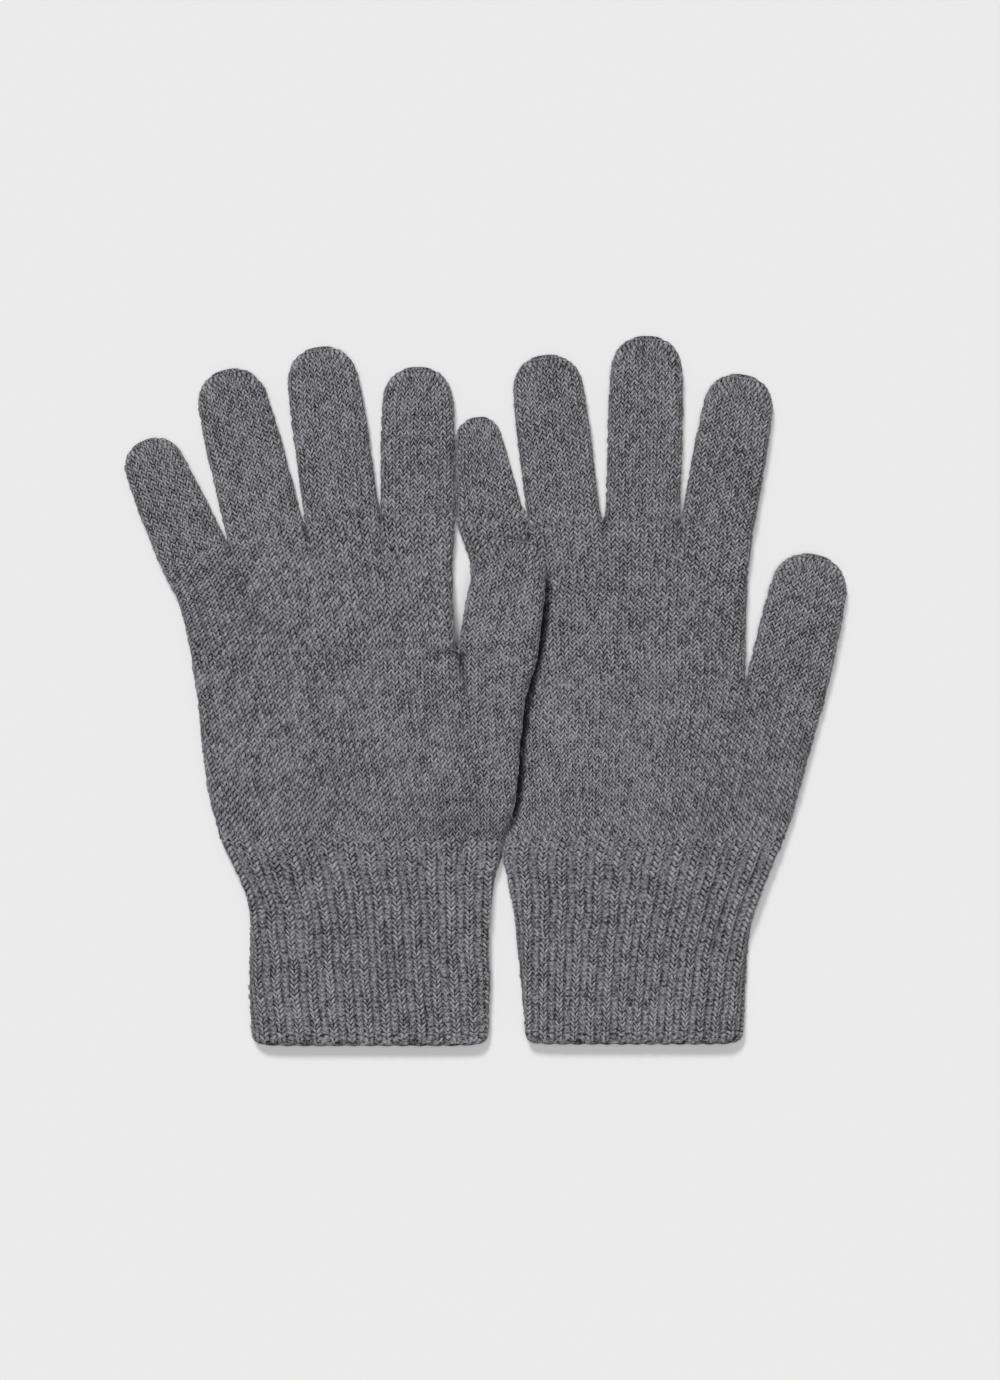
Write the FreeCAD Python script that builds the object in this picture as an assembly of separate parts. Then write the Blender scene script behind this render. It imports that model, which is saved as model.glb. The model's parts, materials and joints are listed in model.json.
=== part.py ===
"""A pair of knitted wool gloves lying flat, one thumb resting on the other glove.

Each glove is a set of hollow knitted tubes: a cast-on welt, a ribbed cuff, a lower hand that
holds the thumb, an upper hand that holds four fingers, five finger tubes, the drawn-in tip
that closes each tube, and the darned stitch that closes each fork.

Frame: X to the right, Y from the cuffs to the fingertips, Z up. Millimetres.
The origin is under the middle of the pair, on the surface that it lies on.
"""

import FreeCAD, Part
import math
import os

V = FreeCAD.Vector

# Fabric and flat-lay thickness
THICKNESS = 7.0        # a relaxed glove, top face to bottom face
FABRIC = 1.3           # one layer of knitting
WELT_SWELL = 0.5       # how far the cast-on edge stands out past the rib
PRESS = 0.05           # the underside of each hand and cuff is pressed flat by this much
HINGE_GAP = 0.2        # from a fold line to the fabric on either side of it
SIDE_GAP = 0.3         # beside a finger, where the hand stands next to it

# Levels along the gloves
WELT_BOTTOM = -125.0
WELT_TOP = -121.1
CUFF_TOP = -51.5

# The left glove's thumb side climbs over the edge of the right glove
CLIMB = 7.7            # from the surface to the underside of the raised margin
CLIMB_START_X = -34.0
CLIMB_END_X = -10.5
CLIMB_BOTTOM = (-51.5, -38.0)   # Y where the climb begins, and where it is complete
CLIMB_TOP = (18.0, 45.0)        # Y where it begins to fade, and where it is gone
CLIMB_STEPS = 8        # straight steps that the climb is made of, across the glove

# Drawn-in fingertips
TIP_LENGTH = 1.2
TIP_THINNING = 4.0     # the tube's thickness falls away over this last length
TIP_ANGLES = (0, 20, 38, 52)
TIP_END_WIDTH = 3.0
TIP_END_HEIGHT = 1.1

# Darned fork stitches
STITCH_RADIUS = 0.9
STITCH_LENGTH = 3.0
STITCH_BACK = 10.5     # from the fork's base corner down into the hand
STITCH_SUNK = 0.6      # from the hand's upper face down to the middle of the stitch

# Room left by the cutting shapes
BESIDE = 10.0          # past the outermost finger base lines
BESIDE_THUMB = 20.0
FAR = 200.0

# Per glove: margins as (y, x of the left edge, x of the right edge), and fingers as
# (base middle x, base middle y, tilt in degrees to the left, length, base half width,
# tip radius). Fingers run from the outer side of the hand to the thumb side.
GLOVES = {
    "left": {
        "cuff": (
            (WELT_TOP, -83.0, 0.7),
            (-105.0, -84.0, 1.4),
            (-88.0, -83.8, 1.2),
            (-75.5, -84.8, 2.6),
            (-66.0, -87.6, 3.5),
            (CUFF_TOP - HINGE_GAP, -93.9, 6.2),
        ),
        "lower": (
            (CUFF_TOP + HINGE_GAP, -93.9, 6.2),
            (-41.7, -96.3, 9.3),
            (-33.0, -98.4, 10.5),
            (-20.5, -99.9, 11.4),
            (-3.0, -101.6, 13.2),
            (15.3, -104.4, 18.0),
        ),
        "upper": (
            (15.3, -104.4, -10.9),
            (30.0, -108.0, -12.0),
            (42.7, -113.4, -12.2),
            (63.5, -122.0, -11.3),
        ),
        "fingers": {
            "pinky": (-103.0, 47.9, 24.0, 44.0, 12.2, 11.2),
            "ring": (-77.9, 55.9, 14.0, 58.9, 13.5, 12.9),
            "middle": (-50.8, 60.9, 8.0, 60.8, 13.0, 13.0),
            "index": (-24.3, 62.8, 0.0, 51.3, 13.0, 12.9),
            "thumb": (3.7, 13.2, -8.5, 41.3, 13.8, 13.4),
        },
        "welt_bottom": (-81.8, -0.4),
        "climbs": True,
    },
    "right": {
        "cuff": (
            (WELT_TOP, 12.7, 90.2),
            (-105.0, 11.6, 90.9),
            (-88.0, 10.5, 92.5),
            (-75.5, 9.1, 96.0),
            (-66.0, 7.2, 99.2),
            (-58.5, 6.0, 102.0),
            (CUFF_TOP - HINGE_GAP, 6.9, 104.6),
        ),
        "lower": (
            (CUFF_TOP + HINGE_GAP, 6.9, 104.6),
            (-46.0, 7.9, 106.5),
            (-41.7, 8.0, 108.0),
            (-33.0, 6.0, 110.5),
            (-20.5, 3.0, 114.0),
            (-8.0, 1.4, 117.6),
            (3.0, -0.6, 121.0),
        ),
        "upper": (
            (3.0, -0.6, 90.7),
            (20.0, -4.0, 90.8),
            (38.5, -5.4, 91.4),
            (47.0, -6.2, 92.5),
            (62.5, -11.8, 94.6),
        ),
        "fingers": {
            "pinky": (1.5, 59.6, 8.0, 37.2, 11.8, 8.3),
            "ring": (27.4, 58.5, 7.0, 60.2, 12.6, 12.9),
            "middle": (54.8, 59.9, -1.5, 65.1, 12.9, 13.1),
            "index": (80.9, 57.5, -10.0, 54.7, 12.7, 12.8),
            "thumb": (104.8, -0.35, -13.0, 49.7, 14.2, 14.0),
        },
        "welt_bottom": (14.6, 89.0),
        "climbs": False,
    },
}
FOUR_FINGERS = ("pinky", "ring", "middle", "index")


def smooth(t):
    t = min(max(t, 0.0), 1.0)
    return t * t * (3.0 - 2.0 * t)


def climb(x, y, climbs):
    """Height of the glove's underside over the surface at one place."""
    if not climbs:
        return 0.0
    across = smooth((x - CLIMB_START_X) / (CLIMB_END_X - CLIMB_START_X))
    up = smooth((y - CLIMB_BOTTOM[0]) / (CLIMB_BOTTOM[1] - CLIMB_BOTTOM[0]))
    down = 1.0 - smooth((y - CLIMB_TOP[0]) / (CLIMB_TOP[1] - CLIMB_TOP[0]))
    return CLIMB * across * min(up, down)


def climb_steps(end):
    """Where the climb's steps meet, for a tube whose flat faces reach as far as end."""
    last = min(CLIMB_END_X, end - FABRIC)
    return [CLIMB_START_X + (last - CLIMB_START_X) * i / CLIMB_STEPS
            for i in range(CLIMB_STEPS + 1)]


def section(y, left, right, thickness, inset, climbs=False):
    """A flattened tube's outline across the glove, as a closed wire in the plane at y."""
    middle = THICKNESS / 2
    half = thickness / 2 - inset
    start, end = left + inset + half, right - inset - half
    xs = [start] + (climb_steps(end) if climbs else []) + [end]
    centre = [(x, middle + climb(x, y, climbs)) for x in xs]
    top = [V(x, y, z + half) for x, z in centre]
    bottom = [V(x, y, z - half) for x, z in reversed(centre)]
    right_mid = V(centre[-1][0] + half, y, centre[-1][1])
    left_mid = V(centre[0][0] - half, y, centre[0][1])
    edges = [Part.makeLine(a, b) for a, b in zip(top, top[1:])]
    edges.append(Part.Arc(top[-1], right_mid, bottom[0]).toShape())
    edges += [Part.makeLine(a, b) for a, b in zip(bottom, bottom[1:])]
    edges.append(Part.Arc(bottom[-1], left_mid, top[0]).toShape())
    return Part.Wire(edges)


def hand_tube(stations, climbs):
    """A hollow knitted tube through (y, left, right) stations, open at both ends."""
    shells = []
    for inset in (0.0, FABRIC):
        wires = [section(y, left, right, THICKNESS, inset, climbs) for y, left, right in stations]
        shells.append(Part.makeLoft(wires, True, True))
    return press_flat(shells[0].cut(shells[1]))


def press_flat(shape):
    """Settle a tube onto the surface, which leaves its underside truly flat."""
    shape.translate(V(0, 0, -PRESS))
    below = Part.makeBox(2 * FAR, 2 * FAR, PRESS * 2, V(-FAR, -FAR, -PRESS * 2))
    return shape.cut(below)


def welt_tube(stations, bottom):
    """The cast-on edge: one course that stands a little proud of the rib above it."""
    level, left, right = stations[0]
    outer = [
        section(WELT_BOTTOM, bottom[0], bottom[1], THICKNESS, 0.0),
        section((WELT_BOTTOM + level) / 2, left - WELT_SWELL, right + WELT_SWELL, THICKNESS, 0.0),
        section(level, left, right, THICKNESS, 0.0),
    ]
    inner = [
        section(WELT_BOTTOM, bottom[0], bottom[1], THICKNESS, FABRIC),
        section(level, left, right, THICKNESS, FABRIC),
    ]
    return press_flat(Part.makeLoft(outer, True, True).cut(Part.makeLoft(inner, True, True)))


def place(shape, finger, raise_by):
    """Move a shape from a finger's own frame, where it points along +Y, onto the glove."""
    x, y, tilt = finger[:3]
    spot = FreeCAD.Placement(V(x, y, raise_by), FreeCAD.Rotation(V(0, 0, 1), tilt))
    return shape.transformGeometry(spot.toMatrix())


def corner(finger, side, along, out):
    """A point beside a finger's base: side -1 or 1, then steps along the base and outwards."""
    x, y, tilt, _, half, _ = finger
    angle = math.radians(tilt)
    u, v = side * (half + along), out
    return V(x + u * math.cos(angle) - v * math.sin(angle),
             y + u * math.sin(angle) + v * math.cos(angle), 0.0)


def finger_profile(finger):
    """(distance from the base line, half width, thickness) up to the drawn-in tip."""
    length, half, radius = finger[3:]
    stations = [(HINGE_GAP, half, THICKNESS)]
    stations.append(((length - radius) / 2, (half + radius) / 2, THICKNESS))
    last = math.degrees(math.asin((radius - TIP_LENGTH) / radius))
    for angle in TIP_ANGLES + (last,):
        turn = math.radians(angle)
        out = length - radius + radius * math.sin(turn)
        into = max(0.0, (out - (length - TIP_THINNING)) / TIP_THINNING)
        stations.append((out, radius * math.cos(turn), THICKNESS * math.sqrt(1 - into ** 2)))
    return stations


def finger_tube(finger, raise_by):
    shells = []
    for inset in (0.0, FABRIC):
        wires = [section(y, -half, half, thick, inset) for y, half, thick in finger_profile(finger)]
        shells.append(Part.makeLoft(wires, True, True))
    return place(shells[0].cut(shells[1]), finger, raise_by)


def drawn_tip(finger, raise_by):
    """The last course, pulled together on its yarn so that it closes the tube."""
    out, half, thick = finger_profile(finger)[-1]
    wires = [
        section(out, -half, half, thick, 0.0),
        section(finger[3], -TIP_END_WIDTH, TIP_END_WIDTH, TIP_END_HEIGHT * 2, 0.0),
    ]
    return place(Part.makeLoft(wires, True, True), finger, raise_by)


def fork_stitch(x, y, tilt):
    """Darned yarn: a short rounded bar that fills the hole in the fabric below a fork."""
    bar = Part.makeCylinder(STITCH_RADIUS, STITCH_LENGTH, V(0, 0, 0), V(0, -1, 0))
    for end in (0.0, -STITCH_LENGTH):
        bar = bar.fuse(Part.makeSphere(STITCH_RADIUS, V(0, end, 0)))
    spot = FreeCAD.Placement(V(x, y, THICKNESS - STITCH_SUNK),
                             FreeCAD.Rotation(V(0, 0, 1), tilt))
    return bar.removeSplitter().transformGeometry(spot.toMatrix())


def prism(points):
    """An upright block with this outline, tall enough to cut right through a glove."""
    block = Part.Face(Part.makePolygon(points + points[:1])).extrude(V(0, 0, FAR))
    block.translate(V(0, 0, -FAR / 2))
    return block


def above_fingers(fingers):
    """Everything past the four base lines, which the upper hand is cut back to."""
    points = [corner(fingers["pinky"], -1, BESIDE, -HINGE_GAP)]
    for name in FOUR_FINGERS:
        for side in (-1, 1):
            points.append(corner(fingers[name], side, SIDE_GAP, -HINGE_GAP))
    points.append(corner(fingers["index"], 1, BESIDE, -HINGE_GAP))
    return prism(points + [V(points[-1].x, FAR, 0), V(points[0].x, FAR, 0)])


def above_thumb(thumb):
    """Everything past the thumb's base line, which the lower hand is cut back to."""
    return prism([corner(thumb, side, along, out) for side, along, out in (
        (-1, 0.0, -HINGE_GAP), (1, BESIDE_THUMB, -HINGE_GAP),
        (1, BESIDE_THUMB, FAR), (-1, 0.0, FAR))])


def fork_stitches(fingers):
    """The stitch for each fork between two of the four fingers."""
    stitches = {}
    for first, second in zip(FOUR_FINGERS, FOUR_FINGERS[1:]):
        before, after = fingers[first], fingers[second]
        fork = (corner(before, 1, 0.0, 0.0) + corner(after, -1, 0.0, 0.0)) * 0.5
        tilt = (before[2] + after[2]) / 2
        angle = math.radians(tilt)
        x = fork.x + STITCH_BACK * math.sin(angle)
        y = fork.y - STITCH_BACK * math.cos(angle)
        stitches["fork_" + first + "_" + second] = fork_stitch(x, y, tilt)
    return stitches


def save(name, shape):
    shape.exportStep("parts/" + name + ".step")


def build_glove(side, glove):
    climbs = glove["climbs"]
    fingers = glove["fingers"]
    save(side + "_welt", welt_tube(glove["cuff"], glove["welt_bottom"]))
    save(side + "_cuff", hand_tube(glove["cuff"], climbs))
    save(side + "_lower_hand", hand_tube(glove["lower"], climbs).cut(above_thumb(fingers["thumb"])))
    upper_hand = hand_tube(glove["upper"], climbs).cut(above_fingers(fingers))
    for name, stitch in fork_stitches(fingers).items():
        upper_hand = upper_hand.cut(stitch)
        save(side + "_" + name, stitch)
    save(side + "_upper_hand", upper_hand)

    for name, finger in fingers.items():
        raise_by = CLIMB if climbs and name == "thumb" else 0.0
        save(side + "_" + name, finger_tube(finger, raise_by))
        save(side + "_" + name + "_tip", drawn_tip(finger, raise_by))


os.makedirs("parts", exist_ok=True)
for glove_side, glove_sizes in GLOVES.items():
    build_glove(glove_side, glove_sizes)
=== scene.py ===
"""Looks for a pair of grey wool knitted gloves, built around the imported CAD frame.

Every tube of the gloves is a grid that follows its own stitches: columns run up the wales and
rows run along the courses, so each V of the knitting is real geometry. Outlines, levels and
hinge lines are read from the frame. Lengths are in metres.
"""

import json
import math

import bpy
import numpy as np
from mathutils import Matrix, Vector
from mathutils.bvhtree import BVHTree


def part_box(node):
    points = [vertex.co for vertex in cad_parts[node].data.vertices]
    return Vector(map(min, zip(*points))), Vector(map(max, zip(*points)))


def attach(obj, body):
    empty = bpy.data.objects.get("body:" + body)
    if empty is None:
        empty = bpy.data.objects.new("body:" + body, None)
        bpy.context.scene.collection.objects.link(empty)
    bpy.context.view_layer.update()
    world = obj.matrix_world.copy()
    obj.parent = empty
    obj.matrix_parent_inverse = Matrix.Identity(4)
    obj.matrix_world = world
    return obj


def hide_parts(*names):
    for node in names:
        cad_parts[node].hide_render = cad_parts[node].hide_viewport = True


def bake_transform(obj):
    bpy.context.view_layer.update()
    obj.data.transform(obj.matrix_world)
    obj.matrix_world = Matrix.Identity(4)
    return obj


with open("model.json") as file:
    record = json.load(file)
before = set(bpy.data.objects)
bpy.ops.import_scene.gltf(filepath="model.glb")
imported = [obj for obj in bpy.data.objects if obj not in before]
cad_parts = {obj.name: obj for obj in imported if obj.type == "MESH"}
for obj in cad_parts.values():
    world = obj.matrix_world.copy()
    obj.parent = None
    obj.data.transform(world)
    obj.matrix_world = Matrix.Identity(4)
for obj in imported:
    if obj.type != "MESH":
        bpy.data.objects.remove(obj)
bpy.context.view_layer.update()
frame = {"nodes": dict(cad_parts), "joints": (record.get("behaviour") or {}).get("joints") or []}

MM = 0.001
TINY = 1e-9                 # keeps a division or a comparison clear of zero
FAR = 1.0                   # metres, outside everything
SEED = 7
rng = np.random.default_rng(SEED)

# Stitches
WALE = 2.66 * MM
COURSE = 1.69 * MM
COLUMNS = 6                 # mesh columns in a wale, three to each leg of the V
ROWS = 4                    # mesh rows in a course
STITCH_HEIGHT = 0.70 * MM
V_SLANT = 0.85              # how far a leg climbs from the V's foot to its arm, in courses
LEG_SLANT = 0.20            # how far a leg's crest moves outwards on its way up, of its width
LEG_WIDTH = 0.62            # half width of a leg's round crest, of the leg's share of the wale
GROOVE = 0.22               # height left in the groove between two courses
BEAD_FULLNESS = 2.5         # the higher, the longer a leg stays at its full height
UNEVEN = 0.28               # spread of one stitch's height
UNEVEN_LIMIT = 1.5          # the largest stray of one stitch, in spreads
WANDER = 0.10               # how far wales and courses stray, in stitches
WANDER_WAVES = 6
WALE_WANDER_LENGTH = 26 * MM
COURSE_WANDER_LENGTH = 30 * MM
SWELL = 0.30 * MM           # slow unevenness of the cloth
SWELL_WAVES = 7
SWELL_LENGTH = 45 * MM
WAVES_AROUND = (1, 7)       # how many times a random wave goes round a tube: from, and below
WAVE_LENGTHS = (0.35, 1.0)  # of the longest
SETTLED = 3 * COURSE        # a tube's strays settle over this length at its ends
OUTLINE = 0.75              # how much of the stitches' height stands outside the tube's margin
LEAST_FLAT = 0.001 * MM     # a tube keeps this much flat between its two folds

# Ribs
RIB_COLUMNS = 12
RIB_HEIGHT = 0.85 * MM
RIBS_AROUND = {"left": 28, "right": 29}
RIB_RELIEF = {"left": 0.75, "right": 1.0}
RIB_WANDER = 0.03
RIB_START = 0.24            # the ribs rise out of plain knitting over this share of the cuff
RIB_START_CURVE = 0.8
RIDGE_CURVE = 0.8
PURL_HEIGHT = 0.45          # height of a purl bump, of a knit stitch
PURL_CURVE = 1.2
PURL_PAINTED_SHADE = 0.42           # painted shade in the sunken purl wales: their level at the darkest
PURL_BUMP_PAINTED_LIGHT = 0.5       # painted light: how much paler their raised bumps are
PURL_EVEN = 0.5             # how much less their stitches vary

# Lean of the wales to the left going up, in degrees
HAND_LEAN = {"left": 9.5, "right": -3.3}
CUFF_LEAN = {"left": 3.7, "right": -3.5}

# Fabric and edges
FABRIC = 1.4 * MM
HEM_CORNER = 1.6 * MM       # how far the cuff's bottom edge rises at its corners
HEM_CURVE = 10              # the higher, the closer to the corners the edge stays straight
WELT_CORNER = 1.6 * MM      # how far the corners draw in sideways
WELT_CURVE = 3
LIP_FADE = 2.0 * MM         # the ribs flatten out over this last length
LIP_RIDGE = 0.35            # what stays of the ridges on the lip, and of the stitches
LIP_STITCH = 0.5
# level of the painted light on the lip, where the ribs flatten out
LIP_PAINTED_LIGHT = 0.5
INNER_STITCH = 0.5          # height of the stitches on the inner face, of those outside
LIP_ROWS = (13, 12, 60)     # mesh rows before the lip, around it and inside the cuff
SCALLOP = 0.4 * MM          # how far the rib ends stand out of the bottom edge
HEM_LIFT = {"left": 0.5 * MM, "right": 1.1 * MM}
LINER_DEPTH = 24 * MM       # how far into the cuff the inner face is modelled
OVERLAP = 1.3 * MM          # how far a tube reaches in under the next one's stitches
TUCK = 0.35 * MM            # how much slimmer it is there
SETTLE = 22 * MM            # the length over which a margin comes to meet a finger's side
WEB_CREASE = {"left": 27 * MM, "right": 9 * MM}
WEB_CREASE_WIDTH = {"left": 2.8 * MM, "right": 1.4 * MM}
FORK_CREASE = 13.5 * MM
FORK_CREASE_WIDTH = 2.2 * MM
WEB_LEAN = 0.17             # how far the web crease moves right for each step down
CREASE_DEPTH = 1.1          # depth of a crease's middle, of its half width
CREASE_TAPER = 0.8
CREASE_VALLEY = 1.5
CREASE_PAINTED_SHADE = 0.6          # painted shade: how much a deep crease is darkened
# painted shadow: how much the groove under the left glove's edge is darkened
PRESS_PAINTED_SHADOW = 0.9
PAINTED_SHADE_DEPTH = 3.0 * MM      # the depth at which a crease or the pressed groove gets these shares of painted shade
SINK_FLATTENS = 0.6         # how much of a stitch's height is lost where the cloth sinks
SINK_DEPTH = 1.5 * MM       # the depth that loses this much
CLOSE_UP = 3.0 * MM         # where the two cuffs lie closer than this they draw together
TOUCH = {("right", "pinky"): 0.5 * MM}      # how far a finger fills out to its left
PRESS_DEPTH = 3.2 * MM      # the edge of the upper glove presses a groove into the lower one
PRESS_REACH = 3.6 * MM
PRESS_FADE = (4 * MM, 16 * MM)      # at the groove's lower and upper end
PIT_DEPTH = 2.2 * MM        # a hole left beside the darning
PITS = {"left": (("middle", 13.4 * MM, 3.4 * MM, 0.85 * MM),), "right": ()}
TIP_SLIM = 0.09             # how much slimmer a fingertip is than the finger's middle
TIP_SLIM_LENGTH = 26 * MM
BASE_FLARE = 5 * MM         # the length over which two fingers close in on their fork

TIP_THINNING = 4.0 * MM     # a finger's thickness falls away over this last length
TIP_GRID = (14, 120)        # mesh rows and columns of a drawn-in tip
TIP_FOLDS = 20              # folds on each face where the last course is drawn together
TIP_FOLD_CURVE = 0.7
# painted light on the crests of the tip's folds, painted shade between them
TIP_FOLD_PAINTED_LIGHT = 0.8
TIP_HOLE = 0.001            # the share of its width that it still has at its end
TIP_ROUNDNESS = 0.95        # its half thickness is at most this share of its half width
TIP_ROUNDS = 20             # repeats that settle the radius of a round tip

# The line of the left glove's thumb side, where it lies on the right glove
ON_TOP_POINTS = (40, 20)    # along the hand and along the thumb
ON_TOP_END = 0.8            # how far short of the thumb's end it stops, of its half width

# Yarn of the darned forks
YARN = 0.42 * MM            # half its thickness
YARN_STEPS = 26
YARN_SIDES = 10
YARN_PLIES = 2
YARN_TURNS = 2.2
YARN_WAIST = 0.2            # how much slimmer the yarn is between its plies
YARN_END_CURVE = 6
YARN_END_LEAST = 0.02
YARN_SOFT_REACH = 4
YARN_RISE = 0.15            # the share of a strand from each end to where it dips
YARN_LIFT = (0.05 * MM, 0.15 * MM)          # of the first strand, and of each one after it
YARN_DIP = 0.25 * MM        # where a strand goes down into the cloth
YARN_ROOT = 1.0 * MM        # how deep its ends are
# level of the painted light along the darning yarn
YARN_PAINTED_LIGHT = 0.5
# The two ends of each strand: across the fork and down it, in millimetres
YARN_ENDS = ((-1.7, 1.3, 1.5, -0.9), (-1.3, -1.5, 1.8, 0.6), (-0.4, 2.4, 0.5, -2.2))

# Wool: how fine each kind of unevenness is, per metre, and its share of the blend
FIBRE_SCALE, FIBRE_SHARE = 1500.0, 1.9
FLECK_SCALE, FLECK_SHARE = 620.0, 0.4
CLOUD_SCALE, CLOUD_SHARE = 55.0, 0.3
TONE_SHARE = 0.12           # of one stitch's own tone
PAINTED_LIGHT_SHARE = 0.85         # of the painted light and shade from the height within a stitch, and of the painted shade in purl wales, creases, pits and the pressed groove
BLEND_RANGE = (1.50, 2.34)  # from all dark fibres to all pale ones
HUE_SCALE = 900.0
HUE_RANGE = (0.35, 0.65)    # from all warm pale fibres to all cool ones
DARK = (0.012, 0.0118, 0.0132)
WARM = (0.352, 0.342, 0.345)
COOL = (0.328, 0.325, 0.385)
RIB_WARM = (0.372, 0.362, 0.365)
RIB_COOL = (0.348, 0.345, 0.405)
NAP_STRENGTH = 0.6
NAP_DEPTH = 0.25 * MM
NAP_FLECKS = 0.6
WOOL_ROUGHNESS = 0.92
WOOL_GLOSS = 0.2
WOOL_SHEEN = 0.18
SHEEN_ROUGHNESS = 0.5

FOUR_FINGERS = ("pinky", "ring", "middle", "index")
FINGERS = FOUR_FINGERS + ("thumb",)

# Reading the frame
SLICES = 90
SLICE_INSET = 0.3 * MM      # how far inside a node's ends its edges are read
SOFT_REACH = 8              # slices that the cuff's and lower hand's edges are softened over
UPPER_SOFT_REACH = 5
SURFACE_GRID = (41, 49)
SURFACE_INSET = 0.8 * MM
SURFACE_SOFT_REACH = 3

# Floor, light and camera
FLOOR_SIZE = 6.0
FLOOR_COLOUR = (0.78, 0.78, 0.78, 1.0)
VIEW_WIDTH = 0.3516         # what the picture's width covers
VIEW_ASPECT = 1.38
VIEW_CENTRE = (0.0046, 0.0005)
VIEW_LEVEL = 3.5 * MM       # the height that this width is measured at
LENS = 100.0
SENSOR = 36.0
VIEW_REACH = 20.0
KEY_OFF_VERTICAL = 40.0     # degrees
KEY_TOWARDS_LEFT = 18.0
KEY_STRENGTH = 1.75
KEY_SOFTNESS = 14.0
TOP_STRENGTH = 1.45
TOP_SOFTNESS = 30.0
SKY_STRENGTH = 0.18


# ---------------------------------------------------------------- reading the frame

def node_mesh(node):
    """A CAD node's corner positions and edges, as arrays in the frame's metres."""
    item = frame["nodes"][node]
    count = len(item.data.vertices)
    spots = np.empty(count * 3)
    item.data.vertices.foreach_get("co", spots)
    spots = spots.reshape(count, 3)
    turn = np.array(item.matrix_world)
    spots = spots @ turn[:3, :3].T + turn[:3, 3]
    edges = np.empty(len(item.data.edges) * 2, dtype=int)
    item.data.edges.foreach_get("vertices", edges)
    return spots, edges.reshape(-1, 2)


def find_joint(name):
    return next(joint for joint in frame["joints"] if joint["name"] == name)


def joint_frame(side, finger):
    """Where a finger starts, and the unit directions along its base line and outwards."""
    joint = find_joint(side + "_" + finger + "_bend")
    origin = np.array(joint["pos_m"][:2])
    along = np.array(joint["axis"][:2])
    return origin, along, np.array([-along[1], along[0]])


def to_local(spots, place):
    origin, along, out = place
    flat = spots[:, :2] - origin
    return np.column_stack([flat @ along, flat @ out, spots[:, 2]])


def to_world(points, place):
    origin, along, out = place
    flat = origin + points[..., :1] * along + points[..., 1:2] * out
    return np.concatenate([flat, points[..., 2:]], axis=-1)


def soften(values, reach):
    """Average a profile with its neighbours, holding its two ends."""
    weights = np.hanning(2 * reach + 3)[1:-1]
    before = 2 * values[0] - values[reach:0:-1]
    after = 2 * values[-1] - values[-2:-reach - 2:-1]
    return np.convolve(np.concatenate([before, values, after]), weights / weights.sum(), "valid")


def slice_edges(node, levels, place=None):
    """A node's leftmost and rightmost x at each level along it."""
    spots, edges = node_mesh(node)
    if place is not None:
        spots = to_local(spots, place)
    first, second = spots[edges[:, 0]], spots[edges[:, 1]]
    found = []
    for level in levels:
        crossing = (first[:, 1] - level) * (second[:, 1] - level) < 0
        a, b = first[crossing], second[crossing]
        x = a[:, 0] + (level - a[:, 1]) / (b[:, 1] - a[:, 1]) * (b[:, 0] - a[:, 0])
        found.append((x.min(), x.max()))
    return np.array(found)


def margin(node, which, span, place=None, reach=0):
    """A node's left (0) or right (1) edge as a function of y, from one end of its span to
    the other."""
    levels = np.linspace(span[0] + SLICE_INSET, span[1] - SLICE_INSET, SLICES)
    edge = slice_edges(node, levels, place)[:, which]
    if reach:
        edge = soften(edge, reach)
    return lambda y: np.interp(y, levels, edge)


def middle_surface(node):
    """The height halfway between a node's two faces, as a function of x and y."""
    item = frame["nodes"][node]
    corners = [item.matrix_world @ v.co for v in item.data.vertices]
    tree = BVHTree.FromPolygons(corners, [tuple(p.vertices) for p in item.data.polygons])
    low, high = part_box(node)
    ys = np.linspace(low[1] + SURFACE_INSET, high[1] - SURFACE_INSET, SURFACE_GRID[0])
    edges = slice_edges(node, ys)
    across = np.linspace(0.0, 1.0, SURFACE_GRID[1])
    grid = np.empty(SURFACE_GRID)
    for i, y in enumerate(ys):
        left, right = edges[i]
        xs = left + SURFACE_INSET + (right - left - 2 * SURFACE_INSET) * across
        for j, x in enumerate(xs):
            under = tree.ray_cast(Vector((x, y, low[2] - FAR)), Vector((0, 0, 1)))[0]
            over = tree.ray_cast(Vector((x, y, high[2] + FAR)), Vector((0, 0, -1)))[0]
            grid[i, j] = (under.z + over.z) / 2 if under and over else np.nan
    for row in grid:
        known = ~np.isnan(row)
        row[:] = np.interp(across, across[known], row[known])
    grid = np.apply_along_axis(soften, 0, grid, SURFACE_SOFT_REACH)

    def height(x, y):
        left, right = np.interp(y, ys, edges[:, 0]), np.interp(y, ys, edges[:, 1])
        share = np.clip((x - left) / (right - left), 0.0, 1.0) * (len(across) - 1)
        step = np.clip((y - ys[0]) / (ys[-1] - ys[0]), 0.0, 1.0) * (len(ys) - 1)
        j = np.minimum(share.astype(int), len(across) - 2)
        i = np.minimum(step.astype(int), len(ys) - 2)
        fj, fi = share - j, step - i
        near = grid[i, j] * (1 - fj) + grid[i, j + 1] * fj
        far = grid[i + 1, j] * (1 - fj) + grid[i + 1, j + 1] * fj
        return near * (1 - fi) + far * fi

    return height


# ---------------------------------------------------------------- knitting

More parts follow.
